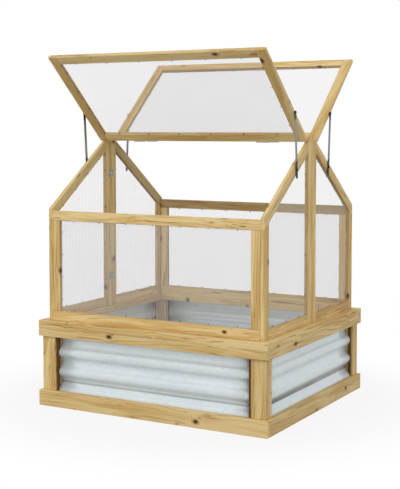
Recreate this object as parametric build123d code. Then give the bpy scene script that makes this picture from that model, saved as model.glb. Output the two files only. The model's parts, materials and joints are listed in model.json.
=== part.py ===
"""A flower bed greenhouse: a raised bed of timber and corrugated sheet that carries a glazed
timber house with two roof lids, hinged at the ridge and propped open by stays.

Frame: millimetres, X along the ridge, -Y to the front, +Z up, origin under the bed's centre.
"""
import os
from math import atan2, cos, degrees, hypot, radians, sin, tan

from build123d import *

# Bed
bed_width = 1000.0
bed_depth = 894.0
bed_height = 338.0
cap_thickness = 27.0
cap_width = 62.0
bottom_rail_height = 62.0
top_rail_height = 35.0
rail_thickness = 20.0
rail_housing = 8.0
post_width = 60.0
post_depth = 48.0

# Corrugated sheets
wave_pitch = 76.0
wave_depth = 18.0
wave_crest_drop = 49.5
sheet_thickness = 1.0
sheet_end_gap = 12.0
sheet_edge_gap = 6.0
sheet_seat_gap = 0.1

# Greenhouse timber and glazing
timber_face = 38.0
timber_thickness = 15.0
pane_thickness = 4.0
groove_depth = 6.0
groove_clearance = 0.2
house_end_inset = 30.0
house_face_inset = 32.0
eave_height = 775.0
wall_drop = 7.0
roof_slope = 35.0

# Ridge, lids and hinges
ridge_width = 82.0
ridge_thickness = 15.0
hinge_reach = 7.0
lid_overhang = 41.9
lid_side_gap = 1.0
lid_seat_gap = 1.0
lid_open_angle = 42.0
lid_drop = 3.5
knuckle_radius = 3.5
hinge_pin_radius = 1.5
running_clearance = 0.05
knuckle_gap = 0.4
hinge_length = 50.0
hinge_knuckle_length = 24.0
hinge_leaf_height = 11.0
hinge_leaf_thickness = 1.5
hinge_spacing = 560.0

# Stays
stay_pivot_distance = 162.0
stay_peg_offset = 150.0
stay_width = 12.0
stay_thickness = 3.0
stay_eye_radius = 6.0
stay_hook_radius = 8.0
stay_tail = 34.0
stay_bolt_radius = 2.5
stay_peg_radius = 3.0
stay_side_gap = 0.3
stay_washer_thickness = 1.0
stay_washer_radius = 4.5
stay_head_radius = 4.5
stay_head_height = 2.0
stay_anchor = 12.0
hook_clearance = 0.8
hook_mouth_clearance = 2.4

# Joining plates, screws and glazing pins
plate_width = 30.0
plate_height = 32.0
plate_thickness = 2.0
plate_heights = (466.0, 902.0)
screw_radius = 1.5
screw_head_radius = 3.2
screw_head_height = 1.6
screw_anchor = 12.0
screw_hollow_gap = 0.3
hinge_screw_anchor = 10.0
hinge_screw_head_radius = 2.2
hinge_screw_head_height = 0.9
hole_clearance = 0.05
pin_radius = 1.75
pin_reach = 5.0
pin_anchor = 8.0
pin_pane_gap = 0.1
lid_long_pins = 6
lid_short_pins = 4
wall_long_pins = 7
wall_short_pins = 4
gable_pins = 4
gable_sill_pins = 3
corner_screws = 2
wall_base_screws = 2
bed_side_screws = 3

# How far a cutting tool starts before a face and runs on past it
cut_margin = 1.0

# Worked out from the sizes above
slope = radians(roof_slope)
half_width = bed_width / 2
half_depth = bed_depth / 2
post_setback = rail_thickness - rail_housing
long_gap = half_width - post_setback - post_width
short_gap = half_depth - post_setback - post_depth
rail_top = bed_height - cap_thickness
wave_crest_height = bed_height - wave_crest_drop
sheet_inset = rail_thickness + sheet_seat_gap
sheet_inner_inset = sheet_inset + wave_depth
house_x = half_width - house_end_inset
house_y = half_depth - house_face_inset
gable_inner_x = house_x - timber_thickness
wall_inner_y = house_y - timber_thickness
rafter_drop = timber_face / cos(slope)
wall_height = eave_height - wall_drop - bed_height
gable_top = eave_height + (house_y - timber_face) * tan(slope)
ridge_y = ridge_width / 2
ridge_top = gable_top + ridge_thickness
axis_y = -ridge_y - hinge_reach
lid_end_gap = knuckle_radius + knuckle_gap
seat_y = axis_y + lid_drop * sin(slope)
seat_z = eave_height + (seat_y + house_y) * tan(slope) + lid_seat_gap / cos(slope)
axis_z = seat_z + lid_drop * cos(slope)
lid_length = (house_y + axis_y) / cos(slope) + lid_overhang - lid_end_gap
lid_width = 2 * (house_x - lid_side_gap)
lid_travel = lid_open_angle + roof_slope
stay_x = house_x + stay_washer_thickness + stay_side_gap

parts = {}


def rafter_line(y):
    """Height of the rafters' upper edge at a distance y from the ridge's middle."""
    return eave_height + (house_y - abs(y)) * tan(slope)


def board(x0, x1, y0, y1, z0, z1):
    """A square-edged board between two corners."""
    size = (abs(x1 - x0), abs(y1 - y0), abs(z1 - z0))
    return Pos((x0 + x1) / 2, (y0 + y1) / 2, (z0 + z1) / 2) * Box(*size)


def prism(points, x0, x1):
    """A board with an outline in Y and Z, between two places along X."""
    low, high = min(x0, x1), max(x0, x1)
    outline = Polyline(*[(low, y, z) for y, z in points], close=True)
    return extrude(make_face(outline), amount=high - low, dir=(1, 0, 0))


def rod(start, direction, length, radius):
    """A round rod from a start point along a direction."""
    plane = Plane(origin=start, z_dir=direction)
    return plane * Cylinder(radius, length, align=(Align.CENTER, Align.CENTER, Align.MIN))


def moved(point, direction, distance):
    return tuple(p + d * distance for p, d in zip(point, direction))


def screw(point, direction, anchor, head_radius=screw_head_radius, head_height=screw_head_height):
    """A screw with its head on a face at the point, driven along the direction."""
    head = rod(moved(point, direction, -head_height), direction, head_height, head_radius)
    return head + rod(point, direction, anchor, screw_radius)


def drill(names, point, direction, depth, radius):
    """A clear hole for a shank of this radius through the named pieces."""
    start = moved(point, direction, -cut_margin)
    hole = rod(start, direction, depth + cut_margin + hole_clearance, radius + hole_clearance)
    for name in names:
        parts[name] = parts[name] - hole


def spaced(start, end, count):
    """Evenly spaced places between two ends, half a step in from each."""
    step = (end - start) / count
    return [start + (i + 0.5) * step for i in range(count)]


# Raised bed: posts, rails, sheets and the cap boards that the house stands on


def make_post(side, face):
    """A corner post, rebated on its two outer faces for the rails."""
    outer_x = side * (half_width - post_setback)
    outer_y = face * (half_depth - post_setback)
    inner_x = outer_x - side * post_width
    inner_y = outer_y - face * post_depth
    post = board(inner_x, outer_x, inner_y, outer_y, 0, rail_top)
    rebate_x = side * (half_width - rail_thickness)
    rebate_y = face * (half_depth - rail_thickness)
    for low, high in ((0, bottom_rail_height), (rail_top - top_rail_height, rail_top)):
        post -= board(rebate_x, side * half_width, inner_y, outer_y, low, high)
        post -= board(inner_x, outer_x, rebate_y, face * half_depth, low, high)
    return post


def wave_chain(face_offset, low, high):
    """Arcs that follow the corrugation in height, as points (depth, height)."""
    middle = wave_depth / 2 - sheet_thickness / 2
    quarter = wave_pitch / 4
    arcs = []
    height = wave_crest_height - quarter
    outward = -1
    while height > low:
        height -= wave_pitch / 2
        outward = -outward
    while height < high:
        centre = wave_depth / 2 + face_offset
        start = (centre, height)
        crest = (centre + outward * middle, height + quarter)
        end = (centre, height + 2 * quarter)
        arcs.append((start, crest, end))
        height += 2 * quarter
        outward = -outward
    return arcs


def corrugated_sheet(length):
    """A sheet standing on edge along X, its outer crests at Y = 0 and its inside towards +Y."""
    low = sheet_edge_gap
    high = rail_top - sheet_edge_gap
    edges = []
    ends = []
    for offset in (-sheet_thickness / 2, sheet_thickness / 2):
        arcs = wave_chain(offset, low, high)
        edges += [ThreePointArc(*[(0, y, z) for y, z in arc]) for arc in arcs]
        ends.append((arcs[0][0], arcs[-1][2]))
    for near, far in zip(ends[0], ends[1]):
        edges.append(Line((0, *near), (0, *far)))
    slab = extrude(make_face(edges), amount=length / 2, dir=(1, 0, 0), both=True)
    return slab & board(-length, length, -wave_depth, 2 * wave_depth, low, high)


def make_bed():
    levels = (("bottom", 0.0, bottom_rail_height), ("top", rail_top - top_rail_height, rail_top))
    for level, low, high in levels:
        for name, face in (("front", -1), ("back", 1)):
            inner = face * (half_depth - rail_thickness)
            outer = face * half_depth
            parts[f"bed_{level}_rail_{name}"] = board(-half_width, half_width, inner, outer, low, high)
        for name, side in (("left", -1), ("right", 1)):
            inner = side * (half_width - rail_thickness)
            end = half_depth - rail_thickness
            parts[f"bed_{level}_rail_{name}"] = board(inner, side * half_width, -end, end, low, high)
    for face_name, face in (("front", -1), ("back", 1)):
        for side_name, side in (("left", -1), ("right", 1)):
            parts[f"bed_post_{face_name}_{side_name}"] = make_post(side, face)
    make_sheets()
    make_cap()


def make_sheets():
    long_sheet = Pos(0, -half_depth + sheet_inset, 0) * corrugated_sheet(2 * (long_gap - sheet_end_gap))
    short_sheet = Pos(0, -half_width + sheet_inset, 0) * corrugated_sheet(2 * (short_gap - sheet_end_gap))
    parts["bed_sheet_front"] = long_sheet
    parts["bed_sheet_back"] = Rot(0, 0, 180) * long_sheet
    parts["bed_sheet_right"] = Rot(0, 0, 90) * short_sheet
    parts["bed_sheet_left"] = Rot(0, 0, -90) * short_sheet


def make_cap():
    """Boards laid flat on the rails and posts: the long two run through, the short two fit between."""
    inner_y = half_depth - cap_width
    inner_x = half_width - cap_width
    for name, face in (("front", -1), ("back", 1)):
        edges = (face * inner_y, face * half_depth)
        parts[f"bed_cap_{name}"] = board(-half_width, half_width, *edges, rail_top, bed_height)
    for name, side in (("left", -1), ("right", 1)):
        edges = (side * inner_x, side * half_width)
        parts[f"bed_cap_{name}"] = board(*edges, -inner_y, inner_y, rail_top, bed_height)


# Glazed frames


def rectangular_frame(length, height, long_pins, short_pins, full_stiles=False):
    """Two rails, two stiles, a pane in their grooves and the pins that hold it.

    Either the rails or the stiles have the frame's full size, and the others fit between them.
    It lies with its length along X, its height along Y from 0 and its thickness along Z from 0.
    """
    half = length / 2
    opening_x = half - timber_face
    rail_x = opening_x if full_stiles else half
    stile_y = 0.0 if full_stiles else timber_face
    pane_z = timber_thickness / 2
    pane_x = opening_x + groove_depth
    pane = board(
        -pane_x, pane_x,
        timber_face - groove_depth, height - timber_face + groove_depth,
        pane_z - pane_thickness / 2, pane_z + pane_thickness / 2,
    )
    groove_x = pane_x + groove_clearance
    groove = board(
        -groove_x, groove_x,
        timber_face - groove_depth - groove_clearance,
        height - timber_face + groove_depth + groove_clearance,
        pane_z - pane_thickness / 2 - groove_clearance / 2,
        pane_z + pane_thickness / 2 + groove_clearance / 2,
    )
    pieces = {
        "low_rail": board(-rail_x, rail_x, 0, timber_face, 0, timber_thickness),
        "high_rail": board(-rail_x, rail_x, height - timber_face, height, 0, timber_thickness),
        "left_stile": board(-half, -opening_x, stile_y, height - stile_y, 0, timber_thickness),
        "right_stile": board(opening_x, half, stile_y, height - stile_y, 0, timber_thickness),
    }
    pin_z = pane_z - pane_thickness / 2 - pin_pane_gap - pin_radius
    roots = []
    for x in spaced(-opening_x, opening_x, long_pins):
        roots.append(("low_rail", (x, timber_face, pin_z), (0, 1, 0)))
        roots.append(("high_rail", (x, height - timber_face, pin_z), (0, -1, 0)))
    for y in spaced(timber_face, height - timber_face, short_pins):
        roots.append(("left_stile", (-opening_x, y, pin_z), (1, 0, 0)))
        roots.append(("right_stile", (opening_x, y, pin_z), (-1, 0, 0)))
    pins = []
    for name, root, direction in roots:
        pins.append(glazing_pin(root, direction))
        pieces[name] = pieces[name] - pin_hole(root, direction)
    for name in pieces:
        pieces[name] = pieces[name] - groove
    return pieces, pane, pins


def glazing_pin(root, direction):
    start = moved(root, direction, -pin_anchor)
    return rod(start, direction, pin_anchor + pin_reach, pin_radius)


def pin_hole(root, direction):
    start = moved(root, direction, -pin_anchor - hole_clearance)
    return rod(start, direction, pin_anchor + 2 * hole_clearance, pin_radius + hole_clearance)


def make_walls(pins):
    """The front and back walls stand between the gables."""
    pin_counts = (wall_long_pins, wall_short_pins)
    pieces, pane, wall_pins = rectangular_frame(2 * gable_inner_x, wall_height, *pin_counts)
    front = Pos(0, -wall_inner_y, bed_height) * Rot(90, 0, 0)
    names = {"low_rail": "bottom_rail", "high_rail": "top_rail"}
    for wall, turn in (("front", 0), ("back", 180)):
        place = Rot(0, 0, turn) * front
        for name, piece in pieces.items():
            parts[f"{wall}_wall_{names.get(name, name)}"] = place * piece
        parts[f"{wall}_wall_pane"] = place * pane
        pins += [place * pin for pin in wall_pins]


def gable_half(side, face, pins):
    """Half a gable: eave stile, centre stile, sill and rafter round one pane."""
    inner_y = house_y - timber_face

    def soffit(y):
        return rafter_line(y) - rafter_drop

    def outline(points, x0=gable_inner_x, x1=house_x):
        return prism([(face * y, z) for y, z in points], side * x0, side * x1)

    sill_top = bed_height + timber_face
    pieces = {
        "eave_stile": outline(
            [
                (house_y, bed_height), (inner_y, bed_height),
                (inner_y, soffit(inner_y)), (house_y, soffit(house_y)),
            ]
        ),
        "centre_stile": outline(
            [(0, bed_height), (timber_face, bed_height), (timber_face, gable_top), (0, gable_top)]
        ),
        "sill": outline(
            [(timber_face, bed_height), (inner_y, bed_height), (inner_y, sill_top), (timber_face, sill_top)]
        ),
        "rafter": outline(
            [
                (house_y, soffit(house_y)), (timber_face, soffit(timber_face)),
                (timber_face, gable_top), (house_y, eave_height),
            ]
        ),
    }

    def pane_outline(grow):
        reach = groove_depth + grow
        outer = inner_y + reach
        middle = timber_face - reach
        lift = reach / cos(slope)
        return [
            (middle, sill_top - reach), (outer, sill_top - reach),
            (outer, soffit(outer) + lift), (middle, soffit(middle) + lift),
        ]

    pane_x = gable_inner_x + timber_thickness / 2
    half_pane = pane_thickness / 2
    half_groove = half_pane + groove_clearance / 2
    pane = outline(pane_outline(0.0), pane_x - half_pane, pane_x + half_pane)
    groove = outline(pane_outline(groove_clearance), pane_x - half_groove, pane_x + half_groove)

    pin_x = side * (pane_x - half_pane - pin_pane_gap - pin_radius)
    roots = []
    for z in spaced(sill_top, soffit(inner_y), gable_pins):
        roots.append(("eave_stile", (pin_x, face * inner_y, z), (0, -face, 0)))
    for z in spaced(sill_top, soffit(timber_face), gable_pins):
        roots.append(("centre_stile", (pin_x, face * timber_face, z), (0, face, 0)))
    for y in spaced(timber_face, inner_y, gable_sill_pins):
        roots.append(("sill", (pin_x, face * y, sill_top), (0, 0, 1)))
    for y in spaced(timber_face, inner_y, gable_pins):
        roots.append(("rafter", (pin_x, face * y, soffit(y)), (0, -face * sin(slope), -cos(slope))))
    for name, root, direction in roots:
        pins.append(glazing_pin(root, direction))
        pieces[name] = pieces[name] - pin_hole(root, direction)
    for name in pieces:
        pieces[name] = pieces[name] - groove
    return pieces, pane


def make_gables(pins):
    for side_name, side in (("left", -1), ("right", 1)):
        for face_name, face in (("front", -1), ("back", 1)):
            pieces, pane = gable_half(side, face, pins)
            for name, piece in pieces.items():
                parts[f"{side_name}_gable_{face_name}_{name}"] = piece
            parts[f"{side_name}_gable_{face_name}_pane"] = pane


# Ridge board, lids and their hinges


def lid_place(face):
    """From a lid that lies level, pointing to the front from its hinge axis, to its place."""
    turn = 0 if face < 0 else 180
    return Rot(0, 0, turn) * Pos(0, axis_y, axis_z) * Rot(-lid_open_angle, 0, 0)


def make_lids(lid_pins):
    pin_counts = (lid_long_pins, lid_short_pins)
    pieces, pane, pins = rectangular_frame(lid_width, lid_length, *pin_counts, full_stiles=True)
    level = Pos(0, -lid_end_gap, -lid_drop) * Rot(0, 0, 180)
    names = {"low_rail": "hinge_rail", "high_rail": "eave_rail"}
    sides = {"front": ("right", "left"), "rear": ("left", "right")}
    for lid, face in (("front", -1), ("rear", 1)):
        place = lid_place(face) * level
        stile_names = dict(zip(("left_stile", "right_stile"), [f"{s}_rail" for s in sides[lid]]))
        for name, piece in pieces.items():
            parts[f"{lid}_lid_{names.get(name, stile_names.get(name))}"] = place * piece
        parts[f"{lid}_lid_pane"] = place * pane
        lid_pins[lid] += [place * pin for pin in pins]


def hinge_places():
    return [-hinge_spacing / 2, hinge_spacing / 2]


def outer_knuckles(x):
    """The two stretches of a hinge's length that its fixed knuckles take."""
    half = hinge_length / 2
    clear = hinge_knuckle_length / 2 + knuckle_gap
    return ((x - half, x - clear), (x + clear, x + half))


def fixed_leaf_seat(x):
    """The fixed leaf's plate, let into the front edge of the ridge board."""
    half = hinge_length / 2
    back = -ridge_y + hinge_leaf_thickness
    return board(x - half, x + half, -ridge_y, back, gable_top, gable_top + hinge_leaf_height)


def fixed_leaf(x):
    """The leaf on the ridge board, with the two outer knuckles, for the front lid."""
    leaf = fixed_leaf_seat(x)
    for low, high in outer_knuckles(x):
        leaf += board(low, high, axis_y, -ridge_y, gable_top, gable_top + hinge_leaf_thickness)
        leaf += rod((low, axis_y, axis_z), (1, 0, 0), high - low, knuckle_radius)
    start = (x - hinge_length / 2 - cut_margin, axis_y, axis_z)
    return leaf - rod(start, (1, 0, 0), hinge_length + 2 * cut_margin, hinge_pin_radius)


def moving_leaf_seat(x):
    """The moving leaf's plate, let into the lid's end, about an axis at the origin."""
    half = hinge_length / 2
    back = -lid_end_gap - hinge_leaf_thickness
    return board(x - half, x + half, back, -lid_end_gap, 0, hinge_leaf_height)


def moving_leaf(x):
    """The leaf on the lid's end, with the middle knuckle, about an axis at the origin."""
    middle = hinge_knuckle_length / 2
    leaf = moving_leaf_seat(x)
    leaf += board(x - middle, x + middle, -lid_end_gap, 0, 0, hinge_leaf_thickness)
    leaf += rod((x - middle, 0, 0), (1, 0, 0), hinge_knuckle_length, knuckle_radius)
    bore = hinge_pin_radius + running_clearance
    start = (x - middle - cut_margin, 0, 0)
    return leaf - rod(start, (1, 0, 0), hinge_knuckle_length + 2 * cut_margin, bore)


def make_hinges(screws, lid_screws):
    ridge = board(-house_x, house_x, -ridge_y, ridge_y, gable_top, ridge_top)
    fixed = []
    pins = []
    for face, lid in ((-1, "front"), (1, "rear")):
        turn = Rot(0, 0, 0 if face < 0 else 180)
        moving = []
        for x in hinge_places():
            start = (x - hinge_length / 2, axis_y, axis_z)
            fixed.append(turn * fixed_leaf(x))
            pins.append(turn * rod(start, (1, 0, 0), hinge_length, hinge_pin_radius))
            ridge -= turn * fixed_leaf_seat(x)
            moving.append(lid_place(face) * moving_leaf(x))
            parts[f"{lid}_lid_hinge_rail"] -= lid_place(face) * moving_leaf_seat(x)
        parts[f"{lid}_lid_hinge_leaves"] = Compound(moving)
    parts["ridge_board"] = ridge
    parts["ridge_hinge_leaves"] = Compound(fixed)
    parts["hinge_pins"] = Compound(pins)
    make_hinge_screws(screws, lid_screws)


def make_hinge_screws(screws, lid_screws):
    size = (hinge_screw_anchor, hinge_screw_head_radius, hinge_screw_head_height)
    middle = (hinge_leaf_thickness + hinge_leaf_height) / 2
    offset = (hinge_length + hinge_knuckle_length) / 4
    for face, lid in ((-1, "front"), (1, "rear")):
        inward = (0, -face, 0)
        outward = lid_direction(face)
        for x in hinge_places():
            for end in (x - offset, x + offset):
                point = (end, face * ridge_y, gable_top + middle)
                screws.append(screw(point, inward, *size))
                names = ("ridge_hinge_leaves", "ridge_board")
                drill(names, point, inward, hinge_screw_anchor, screw_radius)
                point = tuple((lid_place(face) * Pos(end, -lid_end_gap, middle)).position)
                lid_screws[lid].append(screw(point, outward, *size))
                names = (f"{lid}_lid_hinge_leaves", f"{lid}_lid_hinge_rail")
                drill(names, point, outward, hinge_screw_anchor, screw_radius)


def lid_direction(face):
    """Along an open lid, from its hinge to its free edge."""
    angle = radians(lid_open_angle)
    return (0, face * cos(angle), sin(angle))


# Stays


def lid_point(along, up):
    """A point (Y, Z) of the open front lid, from its hinge axis."""
    angle = radians(lid_open_angle)
    y = axis_y - along * cos(angle) + up * sin(angle)
    return y, axis_z + along * sin(angle) + up * cos(angle)


pivot_y, pivot_z = lid_point(stay_pivot_distance, timber_thickness / 2 - lid_drop)
peg_y = -stay_peg_offset
peg_z = rafter_line(peg_y) - rafter_drop / 2
stay_length = hypot(peg_y - pivot_y, peg_z - pivot_z)
stay_lean = degrees(atan2(peg_z - pivot_z, peg_y - pivot_y))
stay_fold = 180.0 - (-stay_lean) + lid_open_angle
stay_ratio = stay_fold / lid_travel


def hook_path_direction():
    """The way in which the peg leaves the hook, seen from the stay, as the lid starts to close."""
    arm_y, arm_z = pivot_y - axis_y, pivot_z - axis_z
    swing = stay_ratio - 1.0
    move_y = -arm_z + swing * (peg_z - pivot_z)
    move_z = arm_y - swing * (peg_y - pivot_y)
    return degrees(atan2(-move_z, -move_y))


def make_stay():
    """A front right stay: an eye on the lid's bolt, a hook open at the side on the peg, and a tail."""
    near, far = stay_x, stay_x + stay_thickness
    half = stay_width / 2
    tip = stay_length + stay_tail - half
    bar = board(near, far, 0, tip, -half, half) + rod((near, tip, 0), (1, 0, 0), stay_thickness, half)
    bar = Pos(0, pivot_y, pivot_z) * Rot(stay_lean, 0, 0) * bar
    eye = rod((near, pivot_y, pivot_z), (1, 0, 0), stay_thickness, stay_eye_radius)
    hook = rod((near, peg_y, peg_z), (1, 0, 0), stay_thickness, stay_hook_radius)
    stay = bar + eye + hook
    start = near - cut_margin
    through = stay_thickness + 2 * cut_margin
    stay -= rod((start, pivot_y, pivot_z), (1, 0, 0), through, stay_bolt_radius + running_clearance)
    seat = stay_peg_radius + hook_clearance
    mouth = stay_peg_radius + hook_mouth_clearance
    reach = 2 * stay_hook_radius
    slot = prism([(0, -seat), (reach, -mouth), (reach, mouth), (0, seat)], start, start + through)
    stay -= Pos(0, peg_y, peg_z) * Rot(hook_path_direction(), 0, 0) * slot
    stay -= rod((start, peg_y, peg_z), (1, 0, 0), through, seat)
    return stay


def shouldered(y, z, radius, inner_x, shoulder_x):
    """A bolt along +X: a shank from its anchor, a washer under the stay and a head over it."""
    washer_end = stay_x - stay_side_gap
    head_start = stay_x + stay_thickness + stay_side_gap
    bolt = rod((inner_x, y, z), (1, 0, 0), head_start - inner_x, radius)
    bolt += rod((shoulder_x, y, z), (1, 0, 0), washer_end - shoulder_x, stay_washer_radius)
    return bolt + rod((head_start, y, z), (1, 0, 0), stay_head_height, stay_head_radius)


def make_stays(lid_screws):
    stay = make_stay()
    lid_side = lid_width / 2
    bolt = shouldered(pivot_y, pivot_z, stay_bolt_radius, lid_side - stay_anchor, lid_side)
    peg = shouldered(peg_y, peg_z, stay_peg_radius, house_x - stay_anchor, house_x)
    pegs = []
    for face_name, face in (("front", -1), ("rear", 1)):
        for side_name, side in (("left", -1), ("right", 1)):

            def place(piece, face=face, side=side):
                flipped = piece if face < 0 else mirror(piece, about=Plane.XZ)
                return flipped if side > 0 else mirror(flipped, about=Plane.YZ)

            parts[f"{face_name}_{side_name}_stay"] = place(stay)
            lid_screws[face_name].append(place(bolt))
            pegs.append(place(peg))
            inward = (-side, 0, 0)
            bolt_root = (side * lid_side, -face * pivot_y, pivot_z)
            peg_root = (side * house_x, -face * peg_y, peg_z)
            drill([f"{face_name}_lid_{side_name}_rail"], bolt_root, inward, stay_anchor, stay_bolt_radius)
            half = "front" if face < 0 else "back"
            drill([f"{side_name}_gable_{half}_rafter"], peg_root, inward, stay_anchor, stay_peg_radius)
    parts["stay_pegs"] = Compound(pegs)


# Joining plates and the screws of the frames


def make_plates(screws):
    plates = []
    hole_y = plate_width / 4
    hole_z = plate_height / 4
    for side_name, side in (("left", -1), ("right", 1)):
        face_x = side * (gable_inner_x - plate_thickness)
        for z in plate_heights:
            plate = board(
                face_x, side * gable_inner_x, -plate_width / 2, plate_width / 2,
                z - plate_height / 2, z + plate_height / 2,
            )
            for face_name, face in (("front", -1), ("back", 1)):
                for level in (-hole_z, hole_z):
                    point = (face_x, face * hole_y, z + level)
                    out = (side, 0, 0)
                    screws.append(screw(point, out, screw_anchor))
                    stile = f"{side_name}_gable_{face_name}_centre_stile"
                    drill([stile], point, out, screw_anchor, screw_radius)
                    start = moved(point, out, -cut_margin)
                    through = plate_thickness + 2 * cut_margin
                    plate -= rod(start, out, through, screw_radius + hole_clearance)
            plates.append(plate)
    parts["gable_joining_plates"] = Compound(plates)


def make_frame_screws(screws):
    """Screws through the gables into the walls, and through the ridge board into the gables."""
    anchor = timber_thickness + screw_anchor
    wall_y = house_y - timber_thickness / 2
    for side_name, side in (("left", -1), ("right", 1)):
        gable_x = side * (house_x - timber_thickness / 2)
        for face_name, face in (("front", -1), ("back", 1)):
            low = bed_height + timber_face
            for z in spaced(low, bed_height + wall_height - timber_face, corner_screws):
                point = (side * house_x, face * wall_y, z)
                inward = (-side, 0, 0)
                screws.append(screw(point, inward, anchor))
                stile = f"{face_name}_wall_{wall_stile(face, side)}_stile"
                names = (f"{side_name}_gable_{face_name}_eave_stile", stile)
                drill(names, point, inward, anchor, screw_radius)
            point = (gable_x, face * timber_face / 2, ridge_top)
            screws.append(screw(point, (0, 0, -1), ridge_thickness + screw_anchor))
            names = ("ridge_board", f"{side_name}_gable_{face_name}_centre_stile")
            drill(names, point, (0, 0, -1), ridge_thickness + screw_anchor, screw_radius)


def wall_stile(face, side):
    """The back wall is the front wall turned round, so its left stile stands on the right."""
    return "right" if side * face < 0 else "left"


def make_base_screws(screws):
    """Screws from under the cap boards, up into the walls' bottom rails and the gables' sills."""
    anchor = cap_thickness + screw_anchor
    wall_y = (wall_inner_y + half_depth - sheet_inner_inset) / 2
    sill_x = (gable_inner_x + half_width - sheet_inner_inset) / 2
    sill_y = house_y / 2
    places = []
    for face_name, face in (("front", -1), ("back", 1)):
        rail = f"{face_name}_wall_bottom_rail"
        for x in spaced(-long_gap, long_gap, wall_base_screws):
            places.append(((x, face * wall_y, rail_top), f"bed_cap_{face_name}", rail))
        for side_name, side in (("left", -1), ("right", 1)):
            sill = f"{side_name}_gable_{face_name}_sill"
            places.append(((side * sill_x, face * sill_y, rail_top), f"bed_cap_{side_name}", sill))
    for point, cap, timber in places:
        screws.append(screw(point, (0, 0, 1), anchor))
        drill((cap, timber), point, (0, 0, 1), anchor, screw_radius)


def crest_near(height):
    """The crest nearest to a height, and how far the sheet's inside lies from the bed's outside there."""
    steps = round((wave_crest_height - height) / (wave_pitch / 2))
    outer = sheet_inset + sheet_thickness + screw_hollow_gap
    return wave_crest_height - steps * wave_pitch / 2, sheet_inner_inset if steps % 2 else outer


def make_bed_screws():
    """Screws from inside the bed, through the sheets' crests into the rails."""
    screws = []
    rows = (("bottom", bottom_rail_height / 2), ("top", rail_top - top_rail_height / 2))
    sides = (("front", 0, half_depth, long_gap), ("right", 90, half_width, short_gap),
             ("back", 180, half_depth, long_gap), ("left", -90, half_width, short_gap))
    for name, turn, reach, run in sides:
        place = Rot(0, 0, turn)
        out = tuple((place * Pos(0, -1, 0)).position)
        for along in spaced(-run, run, bed_side_screws):
            for level, height in rows:
                z, inset = crest_near(height)
                point = tuple((place * Pos(along, -reach + inset, z)).position)
                anchor = inset - rail_thickness + screw_anchor
                screws.append(screw(point, out, anchor))
                drill((f"bed_sheet_{name}", f"bed_{level}_rail_{name}"), point, out, anchor, screw_radius)
    parts["bed_screws"] = Compound(screws)


def group_timbers():
    """The cap boards are one node of separate solids, and so are the four timbers of a gable half."""
    caps = [parts.pop(f"bed_cap_{name}") for name in ("front", "back", "left", "right")]
    parts["bed_cap"] = Compound(caps)
    for side in ("left", "right"):
        for face in ("front", "back"):
            stem = f"{side}_gable_{face}"
            names = ("eave_stile", "centre_stile", "sill", "rafter")
            parts[f"{stem}_frame"] = Compound([parts.pop(f"{stem}_{name}") for name in names])


def main():
    pins = []
    screws = []
    lid_fasteners = {"front": [], "rear": []}
    make_bed()
    make_walls(pins)
    make_gables(pins)
    make_lids(lid_fasteners)
    make_hinges(screws, lid_fasteners)
    make_stays(lid_fasteners)
    make_plates(screws)
    make_frame_screws(screws)
    make_base_screws(screws)
    make_bed_screws()
    group_timbers()
    parts["house_fasteners"] = Compound(pins + screws)
    for lid, fasteners in lid_fasteners.items():
        parts[f"{lid}_lid_fasteners"] = Compound(fasteners)
    os.makedirs("parts", exist_ok=True)
    for name, piece in parts.items():
        export_step(piece, os.path.join("parts", f"{name}.step"))
    print(len(parts), "nodes; hinge axis Y", axis_y, "Z", round(axis_z, 4))
    print("stay pivot", round(pivot_y, 4), round(pivot_z, 4), "length", round(stay_length, 3))
    print("lid travel", lid_travel, "stay fold", round(stay_fold, 4), "ratio", round(stay_ratio, 6))
    print("hook opens at", round(hook_path_direction(), 2))


main()
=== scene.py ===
"""Dresses a flower bed greenhouse: planed fir timbers, corrugated galvanised sheet, clear fluted
panes, small steel fittings, and a plain white studio round it."""
import json
from math import cos, pi, radians, sin, sqrt, tan

import bmesh
import bpy
from bpy.props import FloatProperty, FloatVectorProperty, PointerProperty
from mathutils import Matrix, Vector


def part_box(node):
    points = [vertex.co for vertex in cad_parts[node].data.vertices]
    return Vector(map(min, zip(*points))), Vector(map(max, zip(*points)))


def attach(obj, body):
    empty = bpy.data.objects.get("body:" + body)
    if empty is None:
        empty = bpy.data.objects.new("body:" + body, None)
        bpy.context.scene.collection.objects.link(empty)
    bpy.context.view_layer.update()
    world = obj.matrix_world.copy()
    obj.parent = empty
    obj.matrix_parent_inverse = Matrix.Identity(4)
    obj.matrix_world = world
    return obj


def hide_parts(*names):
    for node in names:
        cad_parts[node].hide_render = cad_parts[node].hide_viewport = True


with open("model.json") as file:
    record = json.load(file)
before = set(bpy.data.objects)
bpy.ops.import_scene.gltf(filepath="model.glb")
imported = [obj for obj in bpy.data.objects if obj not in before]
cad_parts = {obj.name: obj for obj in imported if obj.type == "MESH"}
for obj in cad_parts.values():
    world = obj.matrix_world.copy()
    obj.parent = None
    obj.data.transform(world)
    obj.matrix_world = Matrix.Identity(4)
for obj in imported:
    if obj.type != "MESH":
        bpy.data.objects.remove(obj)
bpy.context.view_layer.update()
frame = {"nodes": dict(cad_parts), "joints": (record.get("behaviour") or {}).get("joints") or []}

bl_info = {
    "name": "Flower bed greenhouse",
    "version": (1, 0, 0),
    "blender": (4, 5, 0),
    "location": "View3D > Sidebar > Greenhouse",
    "description": "Timbers, sheets, panes and fittings of a flower bed greenhouse, and its studio",
    "category": "Add Mesh",
}

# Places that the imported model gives
HOUSE = "bed_and_house"
HINGE = next(j["pos_m"] for j in frame["joints"] if j["name"] == "front_lid_hinge")
GABLE_LOW, GABLE_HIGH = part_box("right_gable_back_frame")
LID_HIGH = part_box("front_lid_right_rail")[1]
SHEET_LOW, SHEET_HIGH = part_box("bed_sheet_front")
CAP_LOW, CAP_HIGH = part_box("bed_cap")

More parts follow.
